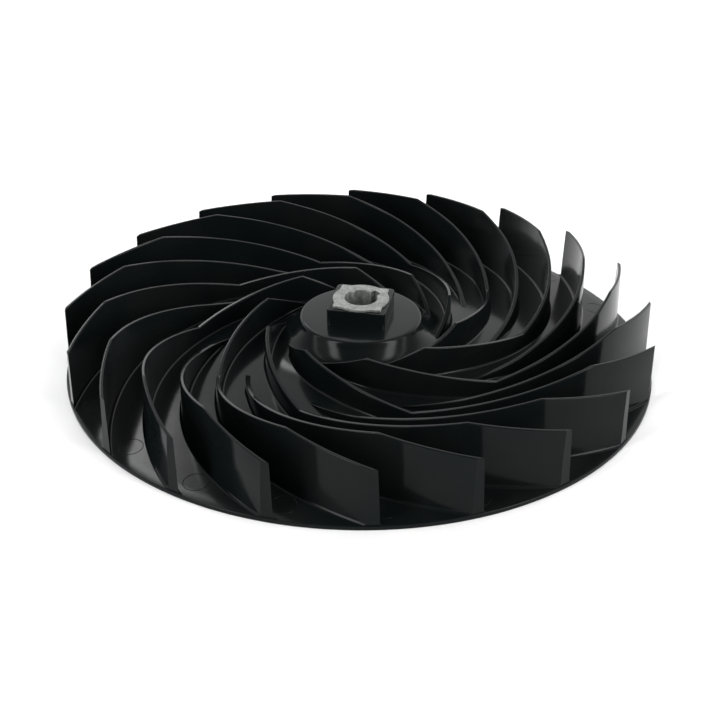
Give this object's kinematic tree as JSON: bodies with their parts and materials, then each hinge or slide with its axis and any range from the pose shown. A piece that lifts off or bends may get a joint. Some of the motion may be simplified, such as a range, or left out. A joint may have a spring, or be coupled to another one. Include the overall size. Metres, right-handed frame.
{
  "type": "centrifugal fan wheel",
  "caption": "Open backward-curved centrifugal fan wheel in black plastic with long and splitter blades and a moulded-in metal hub insert with a keyed bore.",
  "frame": {"origin": "on the shaft axis, in the plane of the plate's rim at the back", "axes": "+Z along the shaft axis towards the air inlet; the boss's flats face X and Y, and the bore's keyway points between +X and +Y"},
  "size_m": [0.18, 0.18, 0.022],
  "materials": {
    "impeller": "satin black, injection moulded",
    "hub_insert": "die-cast, light grey, fine grain"
  },
  "bodies": {
    "root": {"impeller": "impeller", "hub_insert": "hub_insert"}
  },
  "joints": []
}
